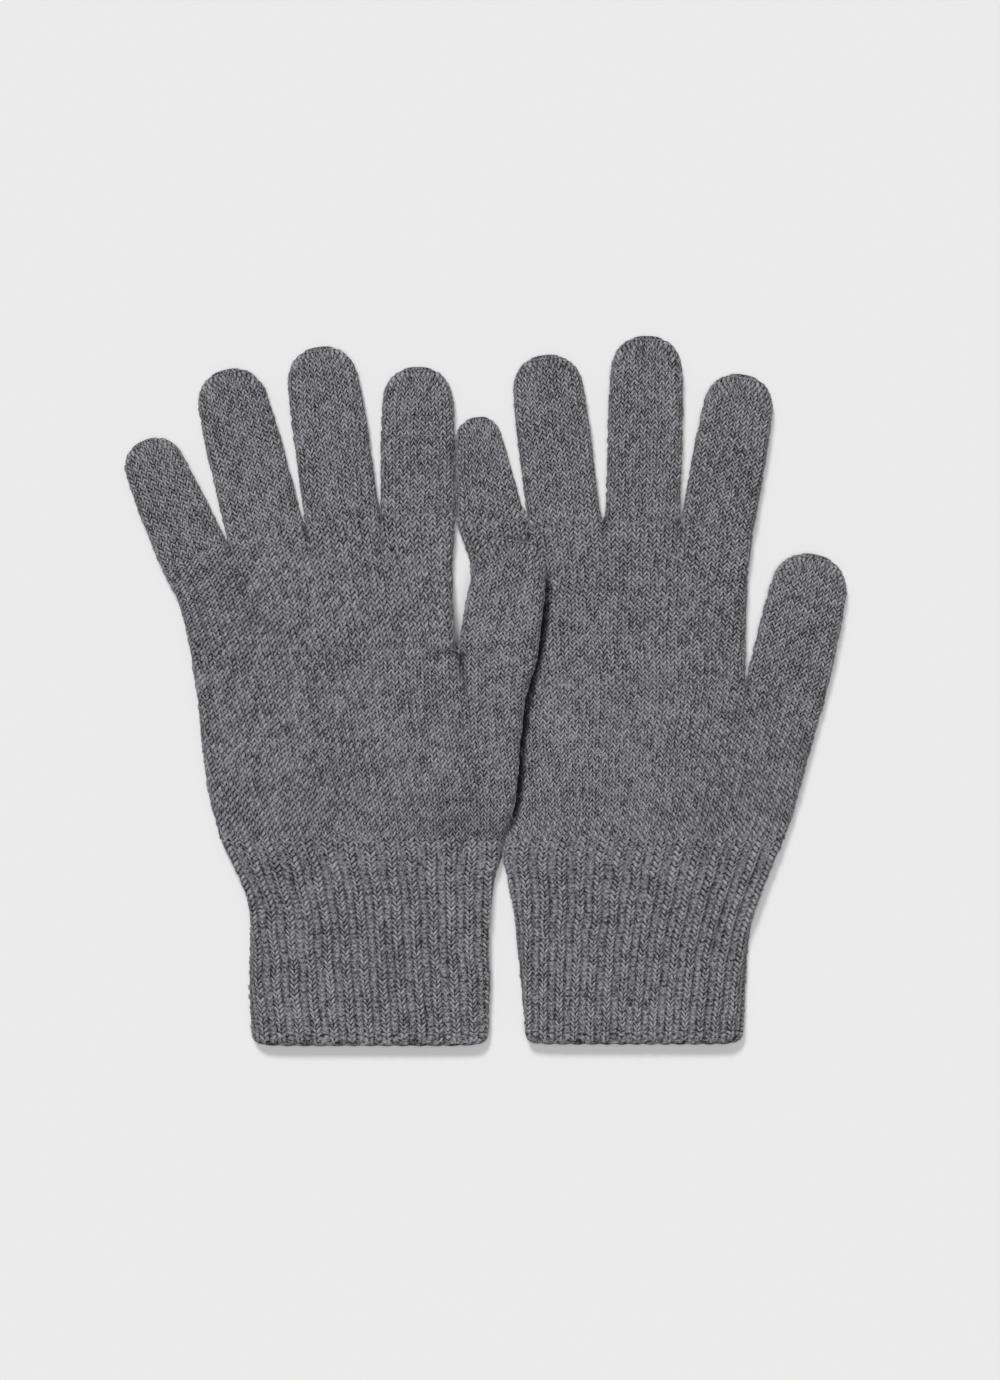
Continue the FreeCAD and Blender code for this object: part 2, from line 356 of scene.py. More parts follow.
def flattened(turn, left, right, radius):
    """Points and outward directions around a flattened tube. Turn 0 is the left fold, and
    the upper face comes first."""
    flat = np.maximum(right - left - 2 * radius, LEAST_FLAT)
    quarter = math.pi * radius / 2
    total = 2 * flat + 4 * quarter
    d = (turn % 1.0) * total
    far_fold = quarter + flat
    back = 3 * quarter + flat
    last = back + flat
    angle = np.select(
        [d < quarter, d < far_fold, d < back, d < last],
        [math.pi - d / radius, math.pi / 2, math.pi / 2 - (d - far_fold) / radius, -math.pi / 2],
        -math.pi / 2 - (d - last) / radius)
    run = np.select(
        [d < quarter, d < far_fold, d < back, d < last],
        [0.0, d - quarter, flat, flat - (d - back)], 0.0)
    nx, nz = np.cos(angle), np.sin(angle)
    return left + radius + run + radius * nx, radius * nz, nx, nz, total


def ripple(turn, along, waves, longest):
    """Slow random waves that close up around a tube. About -1 to 1."""
    total = 0.0
    for _ in range(waves):
        around = rng.integers(*WAVES_AROUND)
        length = longest * rng.uniform(*WAVE_LENGTHS)
        total = total + np.sin(2 * math.pi * (around * turn + along / length) + rng.uniform(0, 7))
    return total / math.sqrt(waves)


def leg_height(q, v):
    """Height of a V's leg, 0 to 1: q runs from the wale's edge to its middle, v counts courses."""
    phase = 2 * ((v + 0.5) % 1.0) - 1
    crest = 0.5 - LEG_SLANT * phase
    across = np.sqrt(np.clip(1 - ((q - crest) / LEG_WIDTH) ** 2, 0, 1))
    bead = np.sqrt(np.clip(1 - np.abs(phase) ** BEAD_FULLNESS, 0, 1))
    return across * (GROOVE + (1 - GROOVE) * bead)


def stocking_stitch(u, v, slant):
    """Height of plain knitting, 0 to 1, and how far each point climbs along its V."""
    out = np.abs(2 * (u % 1.0) - 1)
    return leg_height(1 - out, v), slant * (out - 0.5)


def rib_stitch(u, v, slant, relief, ribbed=1.0):
    """1x1 rib: raised knit wales with a sunken purl wale between each two, or plain knitting
    where ribbed is 0. Gives the stitches' height, how far each point climbs, the ridge under
    the stitches, and the painted light on them, with painted shade in the sunken purl wales."""
    p = u % 1.0
    knit_half = p < 0.5
    ridge = 0.5 + 0.5 * np.sin(2 * math.pi * p)
    out = np.abs(2 * ((2 * p) % 1.0) - 1)
    legs = leg_height(1 - out, v)
    bumps = np.abs(np.sin(math.pi * v)) ** PURL_CURVE * np.sin(2 * math.pi * p) ** 2
    fine = np.where(knit_half, legs, legs + ribbed * (PURL_HEIGHT * bumps - legs))
    shade = PURL_PAINTED_SHADE + PURL_BUMP_PAINTED_LIGHT * bumps
    painted_light = np.where(knit_half, legs, legs + ribbed * (shade - legs))
    return fine, slant * (out - 0.5), relief * ridge ** RIDGE_CURVE, painted_light


def crease_drop(x, y, creases):
    """How far each crease pulls the cloth towards the tube's middle."""
    drop = np.zeros(np.broadcast(x, y).shape)
    for start, way, length, radius in creases:
        dx, dy = x - start[0], y - start[1]
        along = dx * way[0] + dy * way[1]
        aside = np.abs(-dx * way[1] + dy * way[0])
        left_over = np.clip(1.0 - along / length, 0.0, 1.0)
        left_over = np.where(along < -radius, 0.0, left_over)
        reach = radius * left_over ** CREASE_TAPER + TINY
        inside = np.clip(reach - aside, 0.0, reach)
        drop = np.maximum(drop, CREASE_DEPTH * reach * (inside / reach) ** CREASE_VALLEY)
    return drop


def press_drop(x, y, edge_of_other):
    """How far the edge of the glove on top presses a groove into this one."""
    if edge_of_other is None:
        return 0.0
    levels, edge = edge_of_other
    away = np.abs(x - np.interp(y, levels, edge))
    ends = np.clip((y - levels[0]) / PRESS_FADE[0], 0, 1)
    ends = ends * np.clip((levels[-1] - y) / PRESS_FADE[1], 0, 1)
    near = np.clip(1 - away / PRESS_REACH, 0, 1)
    return PRESS_DEPTH * near * near * (3 - 2 * near) * np.sqrt(ends)


def pit_share(x, y, pits):
    """1 in the middle of each small hole that darning leaves, falling to 0 around it."""
    depth = np.zeros(np.broadcast(x, y).shape)
    for spot, radius in pits:
        away = ((x - spot[0]) ** 2 + (y - spot[1]) ** 2) / radius ** 2
        depth = np.maximum(depth, np.exp(-away ** 2))
    return depth


def grid_mesh(name, points, tone, relief):
    """A mesh from a grid of points whose columns close up around a tube."""
    rows, cols = points.shape[:2]
    row, col = np.meshgrid(np.arange(rows - 1), np.arange(cols), indexing="ij")
    after = (col + 1) % cols
    quads = np.stack([row * cols + col, row * cols + after,
                      (row + 1) * cols + after, (row + 1) * cols + col], axis=-1)
    mesh = bpy.data.meshes.new(name)
    mesh.vertices.add(rows * cols)
    mesh.vertices.foreach_set("co", points.reshape(-1).astype(np.float32))
    mesh.loops.add(quads.size)
    mesh.loops.foreach_set("vertex_index", quads.reshape(-1).astype(np.int32))
    mesh.polygons.add(quads.size // 4)
    mesh.polygons.foreach_set("loop_start", np.arange(0, quads.size, 4, dtype=np.int32))
    mesh.polygons.foreach_set("use_smooth", np.ones(quads.size // 4, dtype=bool))
    mesh.update(calc_edges=True)
    mesh.validate()
    # The exporter keeps a layer of this name, and a grid's own rows and columns unwrap cleanly.
    layer = mesh.uv_layers.new(name="OFBake")
    across = np.stack([col, col + 1, col + 1, col], axis=-1) / cols
    along = np.stack([row, row, row + 1, row + 1], axis=-1) / (rows - 1)
    layer.data.foreach_set("uv", np.stack([across, along], axis=-1).reshape(-1).astype(np.float32))
    # tone is each stitch's own random tone; relief carries painted light and shade into the colour
    for label, values in (("tone", tone), ("relief", relief)):
        layer = mesh.attributes.new(label, "FLOAT", "POINT")
        layer.data.foreach_set("value", values.reshape(-1).astype(np.float32))
    piece = bpy.data.objects.new(name, mesh)
    bpy.context.scene.collection.objects.link(piece)
    return piece


def knit(name, tube, material, rib=None):
    """Knit one flattened tube. The dictionary tube says where it lies:
    left, right: edges as functions of y; left_span, right_span: y of each edge's two ends;
    bottom, top: y of the first and last course as functions of x; middle: mid height;
    radius: half the thickness for each share of the length; wales, courses; lean in degrees
    about the level lean_from; even: which of the two ends run out level; tucked: the ends that
    reach in under the next tube; creases, pits; pressed_by: the edge that lies on the tube;
    rib_fade: how ribbed each share of the length is; place: the local frame, if any.
    rib is the relief of a rib's ridges, and None for plain knitting."""
    wales, courses = tube["wales"], tube["courses"]
    per_wale = RIB_COLUMNS if rib else COLUMNS
    cols, rows = wales * per_wale, courses * ROWS + 1
    turn = np.arange(cols)[None, :] / cols
    share = np.linspace(0.0, 1.0, rows)[:, None]
    u, v = turn * wales, share * courses
    before, after = share * courses * COURSE, (1 - share) * courses * COURSE
    low_tuck, high_tuck = tube.get("tucked", (False, False))
    tuck = low_tuck * np.clip(2 - before / OVERLAP, 0, 1)
    tuck = tuck + high_tuck * np.clip(2 - after / OVERLAP, 0, 1)

    left_y = tube["left_span"][0] + (tube["left_span"][1] - tube["left_span"][0]) * share
    right_y = tube["right_span"][0] + (tube["right_span"][1] - tube["right_span"][0]) * share
    inset = STITCH_HEIGHT * OUTLINE
    radius = tube["radius"](share) - STITCH_HEIGHT - TUCK * tuck
    left = tube["left"](left_y) + inset + TUCK * tuck
    right = tube["right"](right_y) - inset - TUCK * tuck
    total = 2 * (right - left) + (2 * math.pi - 4) * radius
    lean = math.tan(math.radians(tube.get("lean", 0.0)))
    shift = lean * (left_y - tube.get("lean_from", 0.0)) / total
    settled = np.clip(np.minimum(before, after) / SETTLED, 0.0, 1.0)
    wander = RIB_WANDER if rib else WANDER
    stray = wander * settled * ripple(turn, before, WANDER_WAVES, WALE_WANDER_LENGTH) / wales
    x, z, nx, nz, total = flattened(turn - shift + stray, left, right, radius)

    # one random number for each leg of each stitch
    legs_around = wales * (4 if rib else 2)
    own = np.clip(rng.normal(size=(courses + 3, legs_around)), -UNEVEN_LIMIT, UNEVEN_LIMIT)
    row_of = np.floor(v + 0.5).astype(int)
    leg_of = np.minimum(np.floor(turn * legs_around), legs_around - 1).astype(int)
    own = own[row_of, leg_of]
    if rib:
        own = own * np.where(u % 1.0 < 0.5, 1.0, PURL_EVEN)

    even_low, even_high = tube.get("even", (False, False))
    fade = np.ones_like(v)
    if even_low:
        fade = fade * np.clip(v, 0.0, 1.0)
    if even_high:
        fade = fade * np.clip(courses - v, 0.0, 1.0)
    if rib:
        ribbed = tube["rib_fade"](share)
        fine, climb, ridge, painted_light = rib_stitch(u, v, V_SLANT * fade, rib, ribbed)
        ridge = RIB_HEIGHT * (ridge - 1.0) * ribbed
    else:
        fine, climb = stocking_stitch(u, v, V_SLANT * fade)
        # painted light follows the stitches' height: paler crests, painted shade in the grooves
        ridge, painted_light = 0.0, fine
    climb = climb + WANDER * ripple(turn, before, WANDER_WAVES, COURSE_WANDER_LENGTH) * settled

    low, high = tube["bottom"](x), tube["top"](x)
    y = low + (high - low) * (share + climb / courses)
    middle = tube["middle"](x, y)
    face = np.clip(np.abs(nz), 0.0, 1.0) ** 2
    creased = crease_drop(x, y, tube.get("creases", ()))
    pit = pit_share(x, y, tube.get("pits", ())) * (nz > 0)
    pressed = press_drop(x, y, tube.get("pressed_by")) * (nz > 0)
    inward = creased + PIT_DEPTH * pit + pressed
    z = np.sign(z) * np.maximum(np.abs(z) - inward * face, 0.0)
    swell = settled * ripple(turn, before, SWELL_WAVES, SWELL_LENGTH) - 1
    z = z + SWELL * swell * face * (nz > 0)
    out = ridge + STITCH_HEIGHT * fine * (1 + UNEVEN * own)
    out = out * (1 - SINK_FLATTENS * np.clip(inward / SINK_DEPTH, 0, 1) * face)
    points = np.stack([x + nx * out, y, np.maximum(middle + z + nz * out, 0.0)], axis=-1)
    if "place" in tube:
        points = to_world(points, tube["place"])
    # painted shade: the pits are darkened towards their middle
    painted_light = np.broadcast_to(painted_light, (rows, cols)) * (1 - pit)
    # painted shade in the creases, and painted shadow in the groove pressed by the glove on top
    for depth, shade in ((creased, CREASE_PAINTED_SHADE), (pressed, PRESS_PAINTED_SHADOW)):
        painted_light = painted_light * (1 - shade * np.clip(depth / PAINTED_SHADE_DEPTH, 0, 1) * face)
    piece = grid_mesh(name, points, own, painted_light)
    piece.data.materials.append(material)
    return piece


# ---------------------------------------------------------------- materials

def wool(name, dark, warm, cool):
    """Heathered wool: dark fibres and paler ones, warm or cool, blended in the yarn, with a
    soft nap. The mesh's relief attribute adds painted light and shade to the colour."""
    material = bpy.data.materials.new(name)
    material.use_nodes = True
    nodes, links = material.node_tree.nodes, material.node_tree.links
    shader = nodes["Principled BSDF"]
    shader.inputs["Roughness"].default_value = WOOL_ROUGHNESS
    shader.inputs["Specular IOR Level"].default_value = WOOL_GLOSS
    shader.inputs["Sheen Weight"].default_value = WOOL_SHEEN
    shader.inputs["Sheen Roughness"].default_value = SHEEN_ROUGHNESS
    where = nodes.new("ShaderNodeTexCoord").outputs["Object"]

    def noise(scale, detail, rough=0.6):
        node = nodes.new("ShaderNodeTexNoise")
        node.inputs["Scale"].default_value = scale
        node.inputs["Detail"].default_value = detail
        node.inputs["Roughness"].default_value = rough
        links.new(where, node.inputs["Vector"])
        return node.outputs["Fac"]

    def mixed(share, first, second):
        node = nodes.new("ShaderNodeMix")
        node.data_type = "RGBA"
        links.new(share, node.inputs["Factor"])
        for socket, value in ((node.inputs["A"], first), (node.inputs["B"], second)):
            if isinstance(value, tuple):
                socket.default_value = value + (1.0,)
            else:
                links.new(value, socket)
        return node.outputs["Result"]

    def ranged(value, low, high):
        node = nodes.new("ShaderNodeMapRange")
        node.inputs["From Min"].default_value = low
        node.inputs["From Max"].default_value = high
        links.new(value, node.inputs["Value"])
        return node.outputs["Result"]

    def math_node(kind, a, b):
        node = nodes.new("ShaderNodeMath")
        node.operation = kind
        for socket, value in zip(node.inputs, (a, b)):
            if isinstance(value, float):
                socket.default_value = value
            else:
                links.new(value, socket)
        return node.outputs[0]

    def attribute(label):
        node = nodes.new("ShaderNodeAttribute")
        node.attribute_name = label
        return node.outputs["Fac"]

    fibres = noise(FIBRE_SCALE, 3.0, 0.7)
    flecks = noise(FLECK_SCALE, 2.0)
    cloud = noise(CLOUD_SCALE, 3.0)
    hue = noise(HUE_SCALE, 2.0)
    blend = math_node("MULTIPLY", fibres, FIBRE_SHARE)
    # the relief attribute adds painted light and shade to the fibres' own blend
    for value, portion in ((flecks, FLECK_SHARE), (cloud, CLOUD_SHARE),
                           (attribute("tone"), TONE_SHARE), (attribute("relief"), PAINTED_LIGHT_SHARE)):
        blend = math_node("ADD", blend, math_node("MULTIPLY", value, portion))
    light = mixed(ranged(hue, *HUE_RANGE), warm, cool)
    links.new(mixed(ranged(blend, *BLEND_RANGE), dark, light), shader.inputs["Base Color"])
    nap = nodes.new("ShaderNodeBump")
    nap.inputs["Strength"].default_value = NAP_STRENGTH
    nap.inputs["Distance"].default_value = NAP_DEPTH
    height = math_node("ADD", fibres, math_node("MULTIPLY", flecks, NAP_FLECKS))
    links.new(height, nap.inputs["Height"])
    links.new(nap.outputs["Normal"], shader.inputs["Normal"])
    return material


plain_wool = wool("plain_wool", DARK, WARM, COOL)
rib_wool = wool("rib_wool", DARK, RIB_WARM, RIB_COOL)
yarn_wool = wool("yarn_wool", DARK, WARM, COOL)


# ---------------------------------------------------------------- glove pieces

def constant(value):
    return lambda *_: value


def meeting(edge, level, target):
    """An edge that comes to meet the x target at a level."""
    gap = target - float(edge(level))

    def moved(y):
        near = np.clip(1 - np.abs(y - level) / SETTLE, 0.0, 1.0)
        return edge(y) + gap * near ** 2 * (3 - 2 * near)

    return moved


def finger_base(side, finger):
    """The two ends of a finger's base line, and its frame."""
    place = joint_frame(side, finger)
    edges = slice_edges(side + "_" + finger, [MM], place)[0]
    return [place[0] + place[1] * edge for edge in edges], place


def hem_rise(side):
    """How far the cuff's bottom edge is drawn up, and curves up towards its two corners."""
    low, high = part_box(side + "_welt")
    centre, half = (low[0] + high[0]) / 2, (high[0] - low[0]) / 2

    def rise(x):
        aside = np.clip(np.abs(x - centre) / half, 0, 1)
        return HEM_LIFT[side] + HEM_CORNER * aside ** HEM_CURVE

    return rise


def finish(piece, body, nodes):
    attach(piece, body)
    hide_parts(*nodes)


def fold_level(side):
    """Where the cuff ends and the hand begins."""
    return find_joint(side + "_cuff_fold")["pos_m"][1]


def half_thickness(side):
    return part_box(side + "_welt")[1][2] / 2


def cuff_margins(side):
    """The cuff's two edges. Beside the other glove, it draws in to close a narrow gap."""
    edges = {}
    for one in ("left", "right"):
        low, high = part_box(one + "_cuff")
        span = (low[1], high[1])
        edges[one] = [margin(one + "_cuff", which, span, reach=SOFT_REACH) for which in (0, 1)]

    def drawn(edge, other):
        def moved(y):
            gap = other(y) - edge(y)
            near = np.clip(1 - np.abs(gap) / CLOSE_UP, 0.0, 1.0)
            return edge(y) + gap / 2 * near * (2 - near)
        return moved

    if side == "left":
        return edges["left"][0], drawn(edges["left"][1], edges["right"][0])
    return drawn(edges["right"][0], edges["left"][1]), edges["right"][1]


def make_cuff(side):
    node = side + "_cuff"
    low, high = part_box(node)
    fold = fold_level(side)
    rise = hem_rise(side)
    left, right = cuff_margins(side)
    tube = {
        "left": left, "right": right,
        "left_span": (low[1], fold + OVERLAP), "right_span": (low[1], fold + OVERLAP),
        "bottom": lambda x: low[1] + rise(x), "top": constant(fold + OVERLAP),
        "middle": middle_surface(node), "radius": constant(half_thickness(side)),
        "wales": RIBS_AROUND[side], "courses": round((high[1] - low[1]) / COURSE),
        "lean": CUFF_LEAN[side], "lean_from": fold,
        "rib_fade": lambda share: np.clip((1 - share) / RIB_START, 0.0, 1.0) ** RIB_START_CURVE,
        "even": (True, False), "tucked": (False, True),
    }
    piece = knit(side + "_ribbed_cuff", tube, rib_wool, rib=RIB_RELIEF[side])
    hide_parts(node)
    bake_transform(piece)


def make_welt(side):
    """The cast-on edge: the rib runs out into a soft lip that turns in to the inner face."""
    node = side + "_welt"
    low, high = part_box(node)
    radius = (high[2] - low[2]) / 2
    cuff_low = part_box(side + "_cuff")[0]
    left, right = cuff_margins(side)
    rise = hem_rise(side)
    ribs = RIBS_AROUND[side]
    cols = ribs * RIB_COLUMNS
    turn = np.arange(cols)[None, :] / cols
    start = cuff_low[1]
    lip = FABRIC / 2
    outer = np.linspace(start, low[1] + lip, LIP_ROWS[0])
    curl = np.linspace(0, math.pi, LIP_ROWS[1])[1:-1]
    inner = np.linspace(low[1] + lip, low[1] + LINER_DEPTH, LIP_ROWS[2])
    y = np.concatenate([outer, low[1] + lip - lip * np.sin(curl), inner])[:, None]
    depth = np.concatenate([np.zeros_like(outer), lip * (1 - np.cos(curl)),
                            np.full_like(inner, 2 * lip)])[:, None]
    outside = depth < TINY
    fade = np.clip((y - low[1] - lip) / LIP_FADE, 0.0, 1.0) * outside
    inset = depth + STITCH_HEIGHT
    edge_y = np.maximum(y, start)
    height = math.tan(math.radians(CUFF_LEAN[side])) * (np.minimum(y, start) - fold_level(side))
    full = 2 * (right(start) - left(start)) + (2 * math.pi - 4) * (radius - STITCH_HEIGHT)
    u, v = turn * ribs, (y - start) / COURSE
    slant = V_SLANT * np.clip(-v, 0.0, 1.0) * fade
    fine, climb, ridge, painted_light = rib_stitch(u, v, slant, RIB_RELIEF[side])
    narrow = WELT_CORNER * (1 - np.clip((y - low[1]) / (start - low[1]), 0, 1)) ** WELT_CURVE
    margin_inset = inset + narrow - STITCH_HEIGHT * (1 - OUTLINE)
    x, z, nx, nz, _ = flattened(
        turn - height / full, left(edge_y) + margin_inset, right(edge_y) - margin_inset,
        radius - inset)
    knit_side = np.where(outside, 1.0, -INNER_STITCH)
    out = RIB_HEIGHT * (ridge - 1.0) * np.maximum(fade, LIP_RIDGE) * outside
    out = out + STITCH_HEIGHT * fine * np.maximum(fade, LIP_STITCH) * knit_side
    scallop = SCALLOP * (1 - fade) * (y < start) * (ridge - 0.5)
    points = np.stack([x + nx * out, y + rise(x) + climb * COURSE - scallop,
                       low[2] + radius + z + nz * out], axis=-1)
    tone = rng.normal(size=(points.shape[0] // ROWS + 1, ribs * 4))
    tone = np.repeat(np.repeat(tone, ROWS, axis=0)[:points.shape[0]], RIB_COLUMNS // 4, axis=1)
    # painted light of the ribs, evened out to one level on the lip
    painted_light = painted_light * fade + LIP_PAINTED_LIGHT * (1 - fade)
    piece = grid_mesh(side + "_cast_on_edge", points[::-1], tone[::-1], painted_light[::-1])
    piece.data.materials.append(rib_wool)
    finish(piece, side + "_cuff_body", [node])


def edge_on_top(side):
    """The line that the left glove's thumb side makes where it lies on the right glove."""
    if side == "left":
        return None
    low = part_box("left_lower_hand")[0][1]
    (_, thumb_right), place = finger_base("left", "thumb")
    half_wide, _, end = finger_shape("left", "thumb")
    hand_levels = np.linspace(low + MM, thumb_right[1] - MM, ON_TOP_POINTS[0])
    hand_edge = slice_edges("left_lower_hand", hand_levels)[:, 1]
    last = end - ON_TOP_END * float(half_wide(end / 2))
    along = np.linspace(0.0, last, ON_TOP_POINTS[1])[1:]
    thumb = to_world(np.stack([half_wide(along), along, np.zeros_like(along)], axis=-1), place)
    return np.append(hand_levels, thumb[:, 1]), np.append(hand_edge, thumb[:, 0])


def make_lower_hand(side):
    node = side + "_lower_hand"
    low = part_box(node)[0]
    thumb_left, thumb_right = finger_base(side, "thumb")[0]
    upper_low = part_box(side + "_upper_hand")[0]
    fold = fold_level(side)
    left = margin(node, 0, (low[1], upper_low[1]), reach=SOFT_REACH)
    right = margin(node, 1, (low[1], thumb_right[1]), reach=SOFT_REACH)
    right = meeting(right, thumb_right[1], thumb_right[0])
    xs = [low[0] - FAR, thumb_left[0], thumb_right[0]]
    ys = [upper_low[1], upper_low[1], thumb_right[1]]
    web = np.array([thumb_left[0], upper_low[1]])
    way = np.array([WEB_LEAN, -1.0]) / math.hypot(WEB_LEAN, 1.0)
    pitch = upper_pitch(side)
    radius = half_thickness(side)
    wide = float(thumb_right[0] - left(upper_low[1]))
    tube = {
        "left": left, "right": right,
        "left_span": (fold, upper_low[1]), "right_span": (fold, thumb_right[1]),
        "bottom": constant(fold), "top": lambda x: np.interp(x, xs, ys),
        "middle": middle_surface(node), "radius": constant(radius),
        "wales": round(2 * (wide + (math.pi - 2) * radius) / pitch),
        "courses": round((upper_low[1] - low[1]) / COURSE),
        "lean": HAND_LEAN[side], "lean_from": upper_low[1],
        "creases": [(web, way, WEB_CREASE[side], WEB_CREASE_WIDTH[side])],
        "pressed_by": edge_on_top(side),
    }
    piece = knit(side + "_knit_lower_hand", tube, plain_wool)
    finish(piece, side + "_hand", [node])


def upper_pitch(side):
    """The wale spacing that brings a whole number of wales around the upper hand."""
    node = side + "_upper_hand"
    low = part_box(node)[0]
    left, right = slice_edges(node, [low[1] + MM])[0]
    around = 2 * (right - left + (math.pi - 2) * half_thickness(side))
    return around / round(around / WALE)


def fork_places(side):
    """For each fork between two fingers: where it is, and the way down into the hand."""
    forks = []
    for first, second in zip(FOUR_FINGERS, FOUR_FINGERS[1:]):
        ends_a, place_a = finger_base(side, first)
        ends_b, place_b = finger_base(side, second)
        spot = (ends_a[1] + ends_b[0]) / 2
        way = -(place_a[2] + place_b[2])
        forks.append((first, second, spot, way / np.linalg.norm(way)))
    return forks


def make_upper_hand(side):
    node = side + "_upper_hand"
    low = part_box(node)[0]
    xs, ys = [], []
    for finger in FOUR_FINGERS:
        for end in finger_base(side, finger)[0]:
            xs.append(end[0])
            ys.append(end[1])
    left = meeting(margin(node, 0, (low[1], ys[0]), reach=UPPER_SOFT_REACH), ys[0], xs[0])
    right = meeting(margin(node, 1, (low[1], ys[-1]), reach=UPPER_SOFT_REACH), ys[-1], xs[-1])
    radius = half_thickness(side)
    pitch = upper_pitch(side)
    around = 2 * (float(right(low[1]) - left(low[1])) + (math.pi - 2) * radius)
    pits = []
    for first, _, spot, way in fork_places(side):
        for name, down, aside, size in PITS[side]:
            if name == first:
                pits.append((spot + way * down + np.array([-way[1], way[0]]) * aside, size))
    tube = {
        "left": left, "right": right,
        "left_span": (low[1] - OVERLAP, ys[0]), "right_span": (low[1] - OVERLAP, ys[-1]),
        "bottom": constant(low[1] - OVERLAP), "top": lambda x: np.interp(x, xs, ys),
        "tucked": (True, False),
        "middle": middle_surface(node), "radius": constant(radius),
        "wales": round(around / pitch),
        "courses": round((np.mean(ys) - low[1] + OVERLAP) / COURSE),
        "lean": HAND_LEAN[side], "lean_from": low[1],
        "creases": [(spot, way, FORK_CREASE, FORK_CREASE_WIDTH)
                    for _, _, spot, way in fork_places(side)],
        "pits": pits, "pressed_by": edge_on_top(side),
    }
    piece = knit(side + "_knit_upper_hand", tube, plain_wool)
    finish(piece, side + "_hand", [node])


def fork_gaps(side, finger):
    """Half the gap between a finger's base and its neighbour's, on its left and right."""
    gaps = [0.0, 0.0]
    for first, second, spot, _ in fork_places(side):
        if finger == first:
            gaps[1] = np.linalg.norm(finger_base(side, finger)[0][1] - spot)
        if finger == second:
            gaps[0] = np.linalg.norm(finger_base(side, finger)[0][0] - spot)
    return gaps


def finger_shape(side, finger):
    """A finger's half width as a function of the distance along it, with a round tip, the
    distance to where its drawn-in tip begins, and to its end."""
    node = side + "_" + finger
    place = joint_frame(side, finger)
    length = to_local(node_mesh(node)[0], place)[:, 1].max()
    end = to_local(node_mesh(node + "_tip")[0], place)[:, 1].max()
    edge = margin(node, 1, (0.2 * MM, length), place)

    def slim(y):
        return 1 - TIP_SLIM * np.clip(1 - (end - y) / TIP_SLIM_LENGTH, 0, 1)

    radius = float(edge(length / 2))
    for _ in range(TIP_ROUNDS):
        radius = float(edge(end - radius) * slim(end - radius))

    def half_wide(y):
        into = np.clip(y - (end - radius), 0.0, radius)
        round_end = np.sqrt(np.maximum(radius ** 2 - into ** 2, 0.0))
        return np.where(into > 0, round_end, edge(y) * slim(y))

    return half_wide, length, end


def make_finger(side, finger):
    node = side + "_" + finger
    place = joint_frame(side, finger)
    low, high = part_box(node)
    half_wide, length, end = finger_shape(side, finger)
    half = (high[2] - low[2]) / 2
    middle = (high[2] + low[2]) / 2
    wide = 2 * float(half_wide(length / 3))
    close_left, close_right = fork_gaps(side, finger)
    touch = TOUCH.get((side, finger), 0.0)

    def thickness(share):
        into = np.clip((share * length - (end - TIP_THINNING)) / TIP_THINNING, 0.0, 1.0)
        return half * np.sqrt(1 - into ** 2)

    def flare(y):
        return np.clip(1 - y / BASE_FLARE, 0.0, 1.0) ** 2

    def fill(y):
        return touch * np.sqrt(np.sin(math.pi * np.clip(y / length, 0.0, 1.0)))

    tube = {
        "left": lambda y: -half_wide(y) - close_left * flare(y) - fill(y),
        "right": lambda y: half_wide(y) + close_right * flare(y),
        "left_span": (-OVERLAP, length), "right_span": (-OVERLAP, length),
        "bottom": constant(-OVERLAP), "top": constant(length),
        "tucked": (True, False), "even": (False, True),
        "middle": constant(middle), "radius": thickness,
        "wales": round(2 * (wide + (math.pi - 2) * half) / WALE),
        "courses": round(length / COURSE), "place": place,
    }
    piece = knit(side + "_knit_" + finger, tube, plain_wool)
    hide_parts(node)
    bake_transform(piece)


def make_tip(side, finger):
    """The last course, drawn together on its yarn."""
    node = side + "_" + finger + "_tip"
    place = joint_frame(side, finger)
    low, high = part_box(side + "_" + finger)
    half_start, start, end = finger_shape(side, finger)
    middle = (high[2] + low[2]) / 2
    half = (high[2] - low[2]) / 2
    open_half = half * math.sqrt(1 - ((start - (end - TIP_THINNING)) / TIP_THINNING) ** 2)
    rows, cols = TIP_GRID
    turn = np.arange(cols)[None, :] / cols
    share = np.linspace(0.0, 1.0, rows)[:, None]
    narrow = np.maximum(np.sqrt(1 - share ** 2), TIP_HOLE)
    half_wide = (float(half_start(start)) - STITCH_HEIGHT) * narrow
    radius = np.minimum(half_wide * TIP_ROUNDNESS, (open_half - STITCH_HEIGHT) * narrow)
    x, z, nx, nz, _ = flattened(turn, -half_wide, half_wide, radius)
    folds = np.abs(np.sin(turn * math.pi * TIP_FOLDS)) ** TIP_FOLD_CURVE
    pucker = STITCH_HEIGHT * folds * narrow
    y = np.broadcast_to(start + (end - start) * share, x.shape)
    points = np.stack([x + nx * pucker, y, middle + z + nz * pucker], axis=-1)
    tone = np.broadcast_to(rng.normal(size=(1, cols // 3)).repeat(3, axis=1), (rows, cols))
    # painted light on the fold crests, painted shade in the valleys
    painted_light = pucker / STITCH_HEIGHT * TIP_FOLD_PAINTED_LIGHT
    piece = grid_mesh(side + "_" + finger + "_drawn_tip", to_world(points, place), tone, painted_light)
    piece.data.materials.append(plain_wool)
    finish(piece, side + "_" + finger + "_body", [node])


